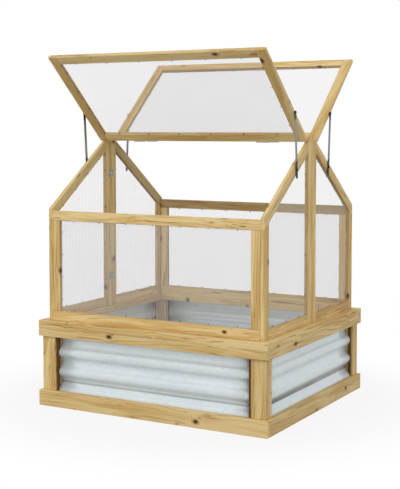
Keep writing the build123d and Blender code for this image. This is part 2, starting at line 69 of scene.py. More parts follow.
# How dull single boards are, as painted shade or painted light: the high values darken boards that stand in
# shade, the zeros keep other shaded boards light; the others have an even-looking value from 0 to 1
BOARD_DULLNESS_AND_SHADE = {
    "back_wall_top_rail_timber": 3.6,
    "left_gable_back_rafter": 3.0,
    "front_lid_eave_rail_timber": 1.8,
    "front_lid_hinge_rail_timber": 0.0,
    "left_gable_front_centre_stile": 0.0,
    "left_gable_back_centre_stile": 0.0,
}

# How strong the grain of single boards is; the others have an even-looking value from 0 to 1
BOARD_FIGURE = {
    "front_lid_hinge_rail_timber": 0.0,
    "front_wall_top_rail_timber": 1.0,
    "back_wall_top_rail_timber": 1.0,
    "bed_cap_front_timber": 1.0,
    "bed_cap_right_timber": 1.0,
    "bed_post_front_left_timber": 1.0,
}

# Steps and gain of the sine behind the even-looking values
STEADY_INDEX = 12.9898
STEADY_SALT = 78.233
STEADY_GAIN = 43758.5453

# Where a board lies in its log, in metres: along it, across its heart and away from its heart
LOG_RUN = 60.0
HEART_ACROSS = 0.12
HEART_NEAREST = 0.03
HEART_SPREAD = 0.07

# Texture of the wood, in waves to the metre along, across and through a board
KNOT_WAVES = (12.0, 18.0, 10.0)
SWAY_WAVES = (1.6, 3.0, 3.0)
BROAD_WAVES = (1.5, 26.0, 26.0)
STREAK_WAVES = (1.5, 150.0, 150.0)
FIBRE_WAVES = (16.0, 620.0, 620.0)

# How the growth rings are drawn out along a board
RING_STRETCH = (0.06, 1.0, 1.0)

# How far the wood's texture is shifted: the knots' ragged edges, the sway, and the bend round a knot
RAGGED_SHIFT = (0.10, 0.10, 0.10)
SWAY_SHIFT = (0.0, 0.10, 0.10)
BEND_SHIFT = -0.05

# Other textures, in waves to the metre, along X, Y and Z where there are three
RAGGED_WAVES = 130.0
STRIP_WAVES = (260.0, 260.0, 9.0)
SHEET_WAVES = (3.0, 3.0, 9.0)
FLAKE_WAVES = 95.0
SMEAR_WAVES = 5.0
PLATE_WAVES = 140.0
PIN_WAVES = 220.0
STAY_WAVES = (60.0, 60.0, 12.0)

# Values of a texture where something starts to show and where it is full
NOISE_SPAN = (0.3, 0.7)
CLOUD_SPAN = (0.35, 0.7)
FLAKE_SPAN = (0.2, 0.8)
ZINC_SPAN = (0.3, 0.75)
SHADE_SPAN = (0.2, 0.6)
WORN_SPAN = (0.35, 0.75)
BROAD_SPAN = (0.36, 0.66)
STREAK_SPAN = (0.59, 0.71)
LATE_SPAN = (0.70, 0.98)
KNOT_CHANCE = (0.34, 0.38)

# Distances from a knot's middle, as shares of a cell, where something starts to show and where it is full
KNOT_BEND = (0.50, 0.0)
KNOT_HALO = (0.24, 0.07)
KNOT_HEART = (0.13, 0.07)

# Least and greatest: size of a knot, strength of the growth lines, and strength of a board's figure
KNOT_SIZES = (0.6, 1.25)
LINE_STRENGTH = (0.08, 0.55)
FIGURE_STRENGTH = (0.6, 1.45)

# Where a pane's rib starts and is full, in pitches from its middle, and how uneven the haze is
RIB_SPAN = (0.22, 0.10)
HAZE_UNEVEN = 0.03

# Heights over the lowest hollow, in metres, where the painted shade below it starts and is full
SHADE_BELOW = (-0.006, -0.001)

# Distances over which the fittings' colours change, in metres
PLATE_BLEND = 0.002
RIDGE_BLEND = 0.001
HEAD_BLEND = 0.0004
STAY_BLEND = 0.006

# Faces of a sheet along its waves and up it
SHEET_COLUMNS = 8
SHEET_ROWS = 128

# Places of the lamps and what they point at, in metres
KEY_PLACE = (-1.0, -4.6, 3.4)
FILL_PLACE = (4.2, -0.6, 2.8)
LAMP_AIM = (0.0, 0.0, 0.6)

WHITE = (1.0, 1.0, 1.0, 1.0)


def colour(label, text, value):
    """A colour as it shows on a screen."""
    return FloatVectorProperty(
        name=label, description=text, default=value, size=3, min=0.0, max=1.0, subtype="COLOR_GAMMA",
    )


def length(label, text, value):
    return FloatProperty(name=label, description=text, default=value, min=0.0, unit="LENGTH", precision=4)


def angle(label, text, degrees):
    return FloatProperty(name=label, description=text, default=radians(degrees), subtype="ANGLE")


def share(label, text, value):
    return FloatProperty(name=label, description=text, default=value, min=0.0, max=1.0, subtype="FACTOR")


def number(label, text, value):
    return FloatProperty(name=label, description=text, default=value)


class TimberSettings(bpy.types.PropertyGroup):
    """Sizes and colours of the fir timbers."""

    face: length("Timber face", "Width of the house's timbers", 0.038)
    thickness: length("Timber thickness", "Thickness of the house's timbers", 0.015)
    arris: length("Arris", "Rounding of the timbers' edges", 0.0016)
    housing: length("Housing", "How far the bed's rails are let into the posts", 0.008)
    cap_width: length("Cap width", "Width of the boards laid flat on the bed's rails", 0.062)
    roof_slope: angle("Roof slope", "Slope of the rafters", 35.0)
    light: colour("Light wood", "Palest colour of the planed fir", (0.94, 0.84, 0.60))
    honey: colour("Honey wood", "Main colour of the planed fir", (0.84, 0.69, 0.41))
    streak: colour("Streak", "Colour of the brown streaks", (0.56, 0.38, 0.18))
    streak_share: share("Streaks", "How strong the brown streaks are", 0.66)
    fibre_share: share("Fibre", "How strong the fine fibre is", 0.10)
    knot: colour("Knot", "Colour of the knots' hearts", (0.24, 0.13, 0.06))
    heart_share: share("Hearts", "How strong the knots' hearts are", 0.95)
    halo_share: share("Halos", "How strong the halos round the knots are", 0.72)
    # Dull wood: the colour of random dullness, and of painted shade on the boards listed for it
    dull: colour("Dull wood", "Colour that duller boards tend to", (0.52, 0.42, 0.29))
    dull_share: share("Dullness", "How far a board of dullness 1 tends to that colour", 0.14)
    # Painted shade: colour of the strips that stand for the shade in the gaps at the sheets' ends
    gap_shade: colour("Stained wood", "Colour of the dark strips at the sheets' ends", (0.30, 0.23, 0.13))
    worn_share: share("Wear", "How much of the brown shows where those strips are worn", 0.35)
    # Painted shade: dark colour on the timbers' edges beside the panes, where the glazing rebates lie in
    # shade
    rebate_shade: colour("Damp wood", "Stain on the timbers' edges beside the panes", (0.42, 0.28, 0.13))
    rebate_shade_share: share("Damp", "How much of that stain the edges beside the panes have", 0.34)


class LidSettings(bpy.types.PropertyGroup):
    """How the roof lids stand."""

    open_angle: angle("Open angle", "Angle of an open lid above level", 42.0)
    drop: length("Drop", "How far a lid's underside lies below its hinge axis", 0.0035)
    end_gap: length("End gap", "From the hinge axis to the lid's end", 0.0039)
    leaf_proud: length("Leaf", "How far the hinges' leaves stand out of the timber", 0.0002)


class SheetSettings(bpy.types.PropertyGroup):
    """The corrugated sheets."""

    wave_pitch: length("Wave pitch", "From crest to crest", 0.076)
    crest_height: length("Crest height", "Height of the lowest outer crest", 0.0605)
    thickness: length("Sheet thickness", "Thickness of the rolled sheet", 0.001)
    hollow: length("Lowest hollow", "Height of the lowest hollow on the outside", 0.0985)
    zinc: colour("Zinc", "Main colour of the galvanised sheet", (0.89, 0.92, 0.93))
    zinc_dark: colour("Dark zinc", "Darker flakes of the galvanised sheet", (0.84, 0.88, 0.89))
    flake_share: share("Flakes", "How much of the dark zinc a dark flake has", 0.35)
    cloud_share: share("Clouds", "How much of the dark zinc a dark cloud has", 0.50)
    seal_depth: length("Strip depth", "Depth of the strips between the sheets' ends and the posts", 0.008)
    # Painted shade in the sheets' lowest hollow, wider and stronger on the side sheets: its colour, reach
    # and strength
    hollow_shade: colour("Grime", "Dirt along the lowest hollow", (0.34, 0.35, 0.31))
    splash: length("Splash", "How far dirt reaches up from the hollow of the front and back sheets", 0.007)
    side_shade_reach: length("Side splash", "How far dirt reaches up from the hollow of the side sheets", 0.030)
    shade_share: share("Dirt", "How much dirt lies in the hollow of the front and back sheets", 0.50)
    side_shade_share: share("Side dirt", "How much dirt lies in the hollow of the side sheets", 0.85)
    thin_shade: share("Thin dirt", "Share of the dirt that its thinnest patches have", 0.65)


class GlazingSettings(bpy.types.PropertyGroup):
    """The clear fluted panes."""

    tint: colour("Tint", "Colour of the haze in the panes", (0.72, 0.73, 0.75))
    rib_tint: colour("Rib tint", "Colour of the panes' ribs", (1.0, 1.0, 1.0))
    haze: share("Haze", "How much of the light a pane's face stops", 0.125)
    rib_haze: share("Rib haze", "How much more a rib of a wall or lid stops", 0.03)
    gable_haze: share("Gable haze", "How much of the light a gable pane's face stops", 0.11)
    gable_rib_haze: share("Gable rib haze", "How much more a rib of a gable stops", 0.056)
    flute_pitch: length("Flute pitch", "From rib to rib of a wall or lid", 0.0115)
    gable_flute_pitch: length("Gable flute pitch", "From rib to rib of a gable", 0.022)


class SteelSettings(bpy.types.PropertyGroup):
    """Colours of the fittings, and where they change."""

    bright: colour("Zinc plate", "Joining plates and the bed's screws", (0.72, 0.72, 0.70))
    dull: colour("Dull zinc", "Tarnish on the joining plates and the bed's screws", (0.60, 0.60, 0.57))
    hinge: colour("Hinge zinc", "Hinges", (0.90, 0.90, 0.89))
    hinge_dull: colour("Dull hinge zinc", "Tarnish on the hinges", (0.80, 0.80, 0.78))
    yellow: colour("Yellow zinc", "Screw heads on the gables' outer faces", (0.78, 0.66, 0.42))
    dark: colour("Dark steel", "Ends of the stays", (0.20, 0.19, 0.20))
    pin: colour("Pin", "Wire pins and screws", (0.12, 0.11, 0.11))
    rod: colour("Stay rod", "Middle of the stays", (0.56, 0.55, 0.55))
    rod_share: share("Rod clouds", "How much of the dark steel the middle of the stays has", 0.30)
    plate_reach: length("Plate reach", "How far the joining plates' screws lie from the middle", 0.030)
    stay_top: length("Stay top", "Height of a stay's dark upper end", 0.030)
    stay_foot: length("Stay foot", "Height of a stay's dark lower end", 0.062)


class StudioSettings(bpy.types.PropertyGroup):
    """Camera, light and floor."""

    camera_x: number("Camera X", "Place of the camera along the ridge, in metres", 2.1816)
    camera_y: number("Camera Y", "Place of the camera from front to back, in metres", -3.9194)
    camera_z: number("Camera Z", "Height of the camera, in metres", 1.0894)
    camera_yaw: angle("Camera yaw", "Turn of the camera about the vertical", 29.357)
    camera_pitch: angle("Camera pitch", "How far the camera looks down", 3.454)
    camera_lens: number("Lens", "Focal length for a 36 mm long side, in millimetres", 81.96)
    camera_shift: number("Lens shift", "Vertical shift of the lens", -0.10)
    ambient: number("Ambient", "Strength of the even light", 0.70)
    key: number("Key", "Power of the large front lamp, in watts", 95.0)
    key_size: length("Key size", "Width of the large front lamp", 4.0)
    fill: number("Fill", "Power of the side lamp, in watts", 20.0)
    fill_size: length("Fill size", "Width of the side lamp", 3.0)
    floor: colour("Floor", "Colour of the floor", (0.72, 0.72, 0.72))
    floor_half: length("Floor size", "From the floor's middle to its sides", 15.0)
    shadow_white: share("Shadow white", "How far the floor under the object is turned to white", 0.88)
    shadow_near: length("Shadow near", "How far from the middle the floor starts to turn whiter", 0.62)
    shadow_far: length("Shadow far", "How far from the middle the floor is quite white", 1.15)


# Small helpers for shader nodes


def linear(rgb):
    """A screen colour as scene light."""
    values = [c / 12.92 if c <= 0.04045 else ((c + 0.055) / 1.055) ** 2.4 for c in rgb]
    return (*values, 1.0)


def new_material(name):
    material = bpy.data.materials.new(name)
    material.use_nodes = True
    tree = material.node_tree
    tree.nodes.clear()
    output = tree.nodes.new("ShaderNodeOutputMaterial")
    shader = tree.nodes.new("ShaderNodeBsdfPrincipled")
    tree.links.new(shader.outputs["BSDF"], output.inputs["Surface"])
    return material, tree, shader


def once(name, make, *details):
    """A material by its name, made when it is first asked for."""
    return bpy.data.materials.get(name) or make(*details)


def wire(tree, socket, source):
    """Sets a socket to a value, or links another node's output to it."""
    if isinstance(source, bpy.types.NodeSocket):
        tree.links.new(source, socket)
    else:
        socket.default_value = source


def mapped(tree, source, scale):
    node = tree.nodes.new("ShaderNodeMapping")
    node.inputs["Scale"].default_value = scale
    tree.links.new(source, node.inputs["Vector"])
    return node.outputs["Vector"]


def noise(tree, vector, scale=1.0, detail=2.0, roughness=0.5, output="Fac"):
    node = tree.nodes.new("ShaderNodeTexNoise")
    node.inputs["Scale"].default_value = scale
    node.inputs["Detail"].default_value = detail
    node.inputs["Roughness"].default_value = roughness
    tree.links.new(vector, node.inputs["Vector"])
    return node.outputs[output]


def voronoi(tree, vector, scale=1.0):
    """Scattered cells, each with a colour of its own and a middle."""
    node = tree.nodes.new("ShaderNodeTexVoronoi")
    node.inputs["Scale"].default_value = scale
    tree.links.new(vector, node.inputs["Vector"])
    return node.outputs


def span(tree, value, low, high, out_low=0.0, out_high=1.0, smooth=True):
    """Maps a value from one span to another, held at the ends."""
    node = tree.nodes.new("ShaderNodeMapRange")
    node.interpolation_type = "SMOOTHSTEP" if smooth else "LINEAR"
    node.inputs["From Min"].default_value = low
    node.inputs["From Max"].default_value = high
    node.inputs["To Min"].default_value = out_low
    node.inputs["To Max"].default_value = out_high
    tree.links.new(value, node.inputs["Value"])
    return node.outputs["Result"]


def mixed(tree, factor, first, second):
    """A colour mix by the node's colour sockets; a colour is a value or another node's output."""
    node = tree.nodes.new("ShaderNodeMix")
    node.data_type = "RGBA"
    wire(tree, node.inputs[0], factor)
    wire(tree, node.inputs[6], first)
    wire(tree, node.inputs[7], second)
    return node.outputs[2]


def calc(tree, operation, first, second=0.0):
    node = tree.nodes.new("ShaderNodeMath")
    node.operation = operation
    wire(tree, node.inputs[0], first)
    wire(tree, node.inputs[1], second)
    return node.outputs[0]


def bump(tree, shader, height, strength, distance):
    node = tree.nodes.new("ShaderNodeBump")
    node.inputs["Strength"].default_value = strength
    node.inputs["Distance"].default_value = distance
    tree.links.new(height, node.inputs["Height"])
    tree.links.new(node.outputs["Normal"], shader.inputs["Normal"])


def surface(tree, shader, body, texture, roughness, spread=NOISE_SPAN):
    """Links a finish's colour, and its roughness as a texture spreads it between two values."""
    tree.links.new(body, shader.inputs["Base Color"])
    tree.links.new(span(tree, texture, *spread, *roughness), shader.inputs["Roughness"])


def attribute(tree, name, output):
    node = tree.nodes.new("ShaderNodeAttribute")
    node.attribute_type = "GEOMETRY"
    node.attribute_name = name
    return node.outputs[output]


def parts_of(tree, vector):
    """The three parts of a vector or colour."""
    node = tree.nodes.new("ShaderNodeSeparateXYZ")
    tree.links.new(vector, node.inputs["Vector"])
    return node.outputs


def moved(tree, shift, reach, vector):
    """A vector moved by a share of another."""
    node = tree.nodes.new("ShaderNodeVectorMath")
    node.operation = "MULTIPLY_ADD"
    node.inputs[1].default_value = reach
    tree.links.new(shift, node.inputs[0])
    tree.links.new(vector, node.inputs[2])
    return node.outputs["Vector"]


def object_place(tree):
    return tree.nodes.new("ShaderNodeTexCoord").outputs["Object"]


def shader_mix(tree, factor, first, second, output):
    """Sends a mix of two shaders to the output."""
    both = tree.nodes.new("ShaderNodeMixShader")
    tree.links.new(factor, both.inputs[0])
    tree.links.new(first.outputs[0], both.inputs[1])
    tree.links.new(second.outputs[0], both.inputs[2])
    tree.links.new(both.outputs[0], output.inputs["Surface"])


# Finishes


def scattered_knots(tree, grain):
    """Knots: how far a point lies beside one that bends the grain there, and the knots' halos and hearts."""
    ragged = noise(tree, grain, scale=RAGGED_WAVES, output="Color")
    places = moved(tree, ragged, RAGGED_SHIFT, mapped(tree, grain, KNOT_WAVES))
    cells = voronoi(tree, places)
    chance = parts_of(tree, cells["Color"])
    size = span(tree, chance["Y"], 0.0, 1.0, *KNOT_SIZES)
    distance = calc(tree, "DIVIDE", cells["Distance"], size)
    grown = span(tree, chance["X"], *KNOT_CHANCE)
    rings = (KNOT_BEND, KNOT_HALO, KNOT_HEART)
    near, halo, heart = [calc(tree, "MULTIPLY", span(tree, distance, *ring), grown) for ring in rings]
    middle = parts_of(tree, cells["Position"])["Y"]
    beside = calc(tree, "SUBTRACT", parts_of(tree, places)["Y"], middle)
    return calc(tree, "MULTIPLY", beside, near), halo, heart


def grain_flow(tree, grain, beside):
    """Places along the grain, which sways down the board and bends round the knots."""
    lift = tree.nodes.new("ShaderNodeCombineXYZ")
    tree.links.new(calc(tree, "MULTIPLY", beside, BEND_SHIFT), lift.inputs["Y"])
    drift = noise(tree, mapped(tree, grain, SWAY_WAVES), detail=1.0, output="Color")
    swayed = moved(tree, drift, SWAY_SHIFT, grain)
    return moved(tree, lift.outputs["Vector"], (1.0, 1.0, 1.0), swayed)


def late_wood(tree, flow):
    """The dark late wood of the growth rings."""
    rings = tree.nodes.new("ShaderNodeTexWave")
    rings.wave_type = "RINGS"
    rings.rings_direction = "X"
    rings.wave_profile = "SAW"
    rings.inputs["Scale"].default_value = 36.0
    rings.inputs["Distortion"].default_value = 2.6
    rings.inputs["Detail"].default_value = 2.0
    rings.inputs["Detail Scale"].default_value = 0.9
    tree.links.new(mapped(tree, flow, RING_STRETCH), rings.inputs["Vector"])
    return span(tree, rings.outputs["Fac"], *LATE_SPAN)


def planed_fir(settings):
    """Pale fir: growth lines that bend round the knots, brown streaks and fine fibre.

    The grain attribute gives a point's place along, across and through its own board.
    """
    material, tree, shader = new_material("planed_fir")
    grain = attribute(tree, "grain", "Vector")
    beside, halo, heart = scattered_knots(tree, grain)
    flow = grain_flow(tree, grain, beside)
    broad = noise(tree, mapped(tree, flow, BROAD_WAVES), detail=3.0, roughness=0.6)
    streaks = noise(tree, mapped(tree, flow, STREAK_WAVES), roughness=0.55)
    fibre = noise(tree, mapped(tree, flow, FIBRE_WAVES))
    figure = span(tree, attribute(tree, "figure", "Fac"), 0.0, 1.0, *FIGURE_STRENGTH, smooth=False)
    lines = calc(tree, "MULTIPLY", late_wood(tree, flow), span(tree, broad, *BROAD_SPAN, *LINE_STRENGTH))
    brown = span(tree, streaks, *STREAK_SPAN, 0.0, settings.streak_share)
    layers = (
        (calc(tree, "MULTIPLY", lines, figure), settings.streak),
        (calc(tree, "MULTIPLY", brown, figure), settings.streak),
        (span(tree, fibre, *NOISE_SPAN, 0.0, settings.fibre_share), settings.streak),
        # The tone attribute carries random dullness, and painted shade or painted light on the listed boards
        (calc(tree, "MULTIPLY", attribute(tree, "tone", "Fac"), settings.dull_share), settings.dull),
        (calc(tree, "MULTIPLY", halo, settings.halo_share), settings.streak),
        (calc(tree, "MULTIPLY", heart, settings.heart_share), settings.knot),
        # Painted shade along the timbers' edges beside the panes, in the glazing rebates
        (calc(tree, "MULTIPLY", attribute(tree, "beside_pane", "Fac"), settings.rebate_shade_share), settings.rebate_shade),
    )
    body = mixed(tree, span(tree, broad, *BROAD_SPAN), linear(settings.light), linear(settings.honey))
    for amount, tint in layers:
        body = mixed(tree, amount, body, linear(tint))
    surface(tree, shader, body, streaks, roughness=(0.48, 0.62), spread=CLOUD_SPAN)
    shader.inputs["Specular IOR Level"].default_value = 0.3
    bump(tree, shader, fibre, strength=0.16, distance=0.0006)
    return material


def gap_shade_fir(settings):
    """Dark strips of fir, with the fibre still showing; their dark colour is painted shade for the gaps
    beside the posts.
    """
    material, tree, shader = new_material("gap_shade_fir")
    fibre = noise(tree, mapped(tree, object_place(tree), STRIP_WAVES), detail=3.0)
    worn = span(tree, fibre, *WORN_SPAN, 0.0, settings.worn_share)
    body = mixed(tree, worn, linear(settings.gap_shade), linear(settings.streak))
    surface(tree, shader, body, fibre, roughness=(0.6, 0.75))
    shader.inputs["Specular IOR Level"].default_value = 0.25
    bump(tree, shader, fibre, strength=0.15, distance=0.0006)
    return material


def galvanised(settings, name, splash, shade_share):
    """Rolled zinc-coated sheet with faint crystal flakes, and painted shade along its lowest hollow."""
    material, tree, shader = new_material(name)
    place = object_place(tree)
    grey = tree.nodes.new("ShaderNodeRGBToBW")
    tree.links.new(voronoi(tree, place, FLAKE_WAVES)["Color"], grey.inputs["Color"])
    flakes = grey.outputs["Val"]
    cloud = noise(tree, mapped(tree, place, SHEET_WAVES), detail=3.0)
    flake = calc(tree, "MULTIPLY", span(tree, flakes, *FLAKE_SPAN), settings.flake_share)
    both = calc(tree, "ADD", flake, span(tree, cloud, *ZINC_SPAN, 0.0, settings.cloud_share))
    body = mixed(tree, both, linear(settings.zinc), linear(settings.zinc_dark))
    height = calc(tree, "SUBTRACT", parts_of(tree, place)["Z"], settings.hollow)
    # Painted shade: a band that darkens the lowest hollow and the slope above it, in patches
    band = calc(tree, "MULTIPLY", span(tree, height, splash, 0.0), span(tree, height, *SHADE_BELOW))
    patches = span(tree, cloud, *SHADE_SPAN, settings.thin_shade * shade_share, shade_share)
    body = mixed(tree, calc(tree, "MULTIPLY", band, patches), body, linear(settings.hollow_shade))
    surface(tree, shader, body, flakes, roughness=(0.42, 0.50), spread=FLAKE_SPAN)
    shader.inputs["Metallic"].default_value = 0.40
    bump(tree, shader, cloud, strength=0.05, distance=0.002)
    return material


def fluted_pane(settings, name, along, pitch, haze, rib_haze):
    """Clear twin-wall sheet: a little haze, and ribs at even steps along one direction."""
    material, tree, shader = new_material(name)
    place = object_place(tree)
    steps = calc(tree, "DIVIDE", parts_of(tree, place)[along], pitch)
    rib = span(tree, calc(tree, "PINGPONG", steps, 0.5), *RIB_SPAN)
    smear = noise(tree, place, scale=SMEAR_WAVES)
    even = span(tree, smear, *NOISE_SPAN, (1 - HAZE_UNEVEN) * haze, (1 + HAZE_UNEVEN) * haze)
    alpha = calc(tree, "ADD", calc(tree, "MULTIPLY", rib, rib_haze), even)
    tree.links.new(alpha, shader.inputs["Alpha"])
    body = mixed(tree, rib, linear(settings.tint), linear(settings.rib_tint))
    surface(tree, shader, body, smear, roughness=(0.10, 0.18))
    shader.inputs["Specular IOR Level"].default_value = 0.4
    return material


def plated_steel(name, fresh, dull):
    """Plated fittings, duller in places."""
    material, tree, shader = new_material(name)
    cloud = noise(tree, object_place(tree), scale=PLATE_WAVES, detail=3.0)
    body = mixed(tree, span(tree, cloud, *CLOUD_SPAN), linear(fresh), linear(dull))
    surface(tree, shader, body, cloud, roughness=(0.40, 0.60))
    shader.inputs["Metallic"].default_value = 0.4
    return material


def dark_pins(settings, name, plated=False):
    """Darkened wire pins and bolts.

    Where plated, the screws of the joining plates and of the ridge board are zinc plated, and so are
    the heads on the gables' outer faces.
    """
    material, tree, shader = new_material(name)
    place = object_place(tree)
    cloud = noise(tree, place, scale=PIN_WAVES)
    body = mixed(tree, span(tree, cloud, *CLOUD_SPAN), linear(settings.pin), linear(settings.dark))
    if plated:
        parts = parts_of(tree, place)
        outward, from_middle = [calc(tree, "ABSOLUTE", parts[axis]) for axis in ("X", "Y")]
        on_plates = span(tree, from_middle, settings.plate_reach + PLATE_BLEND, settings.plate_reach)
        on_ridge = span(tree, parts["Z"], GABLE_HIGH.z - RIDGE_BLEND, GABLE_HIGH.z)
        body = mixed(tree, calc(tree, "MAXIMUM", on_plates, on_ridge), body, linear(settings.dull))
        heads = span(tree, outward, GABLE_HIGH.x - HEAD_BLEND, GABLE_HIGH.x)
        body = mixed(tree, heads, body, linear(settings.yellow))
    surface(tree, shader, body, cloud, roughness=(0.4, 0.6))
    shader.inputs["Metallic"].default_value = 0.2
    return material


def stay_steel(settings, low, high):
    """A grey rod between dark ends, by its height on the standing stay."""
    material, tree, shader = new_material("stay_steel")
    place = object_place(tree)
    height = parts_of(tree, place)["Z"]
    top, foot = high - settings.stay_top, low + settings.stay_foot
    upper = span(tree, height, top - STAY_BLEND, top)
    lower = span(tree, height, foot + STAY_BLEND, foot)
    cloud = noise(tree, mapped(tree, place, STAY_WAVES))
    clouds = span(tree, cloud, *NOISE_SPAN, 0.0, settings.rod_share)
    rod = mixed(tree, clouds, linear(settings.rod), linear(settings.dark))
    body = mixed(tree, calc(tree, "MAXIMUM", upper, lower), rod, linear(settings.dark))
    surface(tree, shader, body, cloud, roughness=(0.3, 0.45))
    shader.inputs["Metallic"].default_value = 0.5
    return material


# Timbers


def steady(index, salt):
    """An even-looking number from 0 to 1 that stays the same from run to run."""
    return (sin(index * STEADY_INDEX + salt * STEADY_SALT) * STEADY_GAIN) % 1.0


def axes_place(centre, along, across, through):
    """A board's place: its length, face and thickness directions as columns."""
    place = Matrix((along, across, through)).transposed().to_4x4()
    place.translation = centre
    return place


def round_edges(bm, radius):
    bmesh.ops.bevel(
        bm, geom=bm.edges[:], offset=radius, offset_type="OFFSET", affect="EDGES",
        segments=2, profile=0.5, material=-1, clamp_overlap=True,
    )


def finish_piece(bm, name, material, body, nodes):
    mesh = bpy.data.meshes.new(name)
    bm.to_mesh(mesh)
    bm.free()
    mesh.materials.append(material)
    piece = bpy.data.objects.new(name, mesh)
    bpy.context.scene.collection.objects.link(piece)
    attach(piece, body)
    if nodes:
        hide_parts(*nodes)
    return piece


def pane_edge(bm, to_board, pane):
    """Where a timber's edge beside a pane lies, across its own board."""
    across = [(to_board @ vert.co).y for vert in bm.verts]
    low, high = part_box(pane)
    towards = (to_board @ ((low + high) / 2)).y
    return max(across) if towards > 0 else min(across)


def finish_timber(bm, name, place, body, node, pane=None):
    """Rounds a timber's arrises and notes where each point lies on its board and beside a pane."""
    settings = bpy.context.scene.greenhouse_timber
    bmesh.ops.recalc_face_normals(bm, faces=bm.faces)
    round_edges(bm, settings.arris)
    index = len(bpy.data.meshes)
    along, across, away, dullness_and_shade, strength = [steady(index, salt) for salt in range(1, 6)]
    drift = Vector((along * LOG_RUN, across * HEART_ACROSS, HEART_NEAREST + away * HEART_SPREAD))
    # Listed boards take painted shade or painted light in place of their random dullness
    dullness_and_shade = BOARD_DULLNESS_AND_SHADE.get(name, dullness_and_shade)
    strength = BOARD_FIGURE.get(name, strength)
    to_board = place.inverted()
    grain = bm.verts.layers.float_vector.new("grain")
    tone = bm.verts.layers.float.new("tone")
    figure = bm.verts.layers.float.new("figure")
    beside_pane = bm.verts.layers.float.new("beside_pane")
    edge = pane_edge(bm, to_board, pane) if pane else None
    for vert in bm.verts:
        own = to_board @ vert.co
        vert[grain] = own + drift
        vert[tone] = dullness_and_shade
        vert[figure] = strength
        # Marks the edge beside a pane, which gets the painted rebate shade
        vert[beside_pane] = 1.0 if pane and abs(own.y - edge) < settings.arris / 2 else 0.0
    fir = once("planed_fir", planed_fir, settings)
    finish_piece(bm, name, fir, body, [node])


def new_board(size, place):
    bm = bmesh.new()
    bmesh.ops.create_cube(bm, size=1.0)
    bmesh.ops.scale(bm, vec=size, verts=bm.verts)
    bmesh.ops.transform(bm, matrix=place, verts=bm.verts)
    return bm


def saw(bm, point, away):
    """Cuts a timber off at a plane and closes the cut."""
    geom = bm.verts[:] + bm.edges[:] + bm.faces[:]
    cut = bmesh.ops.bisect_plane(bm, geom=geom, plane_co=point, plane_no=away, clear_outer=True)
    edges = [e for e in cut["geom_cut"] if isinstance(e, bmesh.types.BMEdge)]
    bmesh.ops.contextual_create(bm, geom=edges)


def box_board(low, high):
    """A square board between two corners, its length along its longest side."""
    low, high = Vector(low), Vector(high)
    size = high - low
    order = sorted(range(3), key=lambda i: -size[i])
    columns = [Vector([1.0 if i == axis else 0.0 for i in range(3)]) for axis in order]
    place = axes_place((low + high) / 2, *columns)
    return new_board([size[i] for i in order], place), place


def make_box_timber(node, pane=None, inset=0.0):
    """A square timber in its node's place, planed down by the inset at its front and back."""
    low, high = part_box(node)
    planed = Vector((0.0, inset, 0.0))
    bm, place = box_board(low + planed, high - planed)
    finish_timber(bm, node + "_timber", place, HOUSE, node, pane)


def make_post(node):
    """A corner post with its ends rebated for the rails, as three lengths on one line."""
    settings = bpy.context.scene.greenhouse_timber
    low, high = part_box(node)
    reduced_low, reduced_high = low.copy(), high.copy()
    for axis in (0, 1):
        if high[axis] > 0:
            reduced_high[axis] -= settings.housing
        else:
            reduced_low[axis] += settings.housing
    ends = (low.z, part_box("bed_bottom_rail_front")[1].z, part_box("bed_top_rail_front")[0].z, high.z)
    whole, place = box_board(low, high)
    whole.clear()
    spare = bpy.data.meshes.new("post_length")
    for i in range(3):
        inner = (low, high) if i == 1 else (reduced_low, reduced_high)
        bm, _ = box_board((*inner[0].xy, ends[i]), (*inner[1].xy, ends[i + 1]))
        bm.to_mesh(spare)
        bm.free()
        whole.from_mesh(spare)
    bpy.data.meshes.remove(spare)
    finish_timber(whole, node + "_timber", place, HOUSE, node)


def make_cap():
    """Boards laid flat round the bed: the long two run through, the short two fit between."""
    settings = bpy.context.scene.greenhouse_timber
    low, high = CAP_LOW, CAP_HIGH
    inner_x, inner_y = high.x - settings.cap_width, high.y - settings.cap_width
    spans = (
        ("front", (low.x, high.x), (low.y, -inner_y)),
        ("back", (low.x, high.x), (inner_y, high.y)),
        ("left", (low.x, -inner_x), (-inner_y, inner_y)),
        ("right", (inner_x, high.x), (-inner_y, inner_y)),
    )
    for name, (x0, x1), (y0, y1) in spans:
        bm, place = box_board((x0, y0, low.z), (x1, y1, high.z))
        finish_timber(bm, f"bed_cap_{name}_timber", place, HOUSE, "bed_cap")


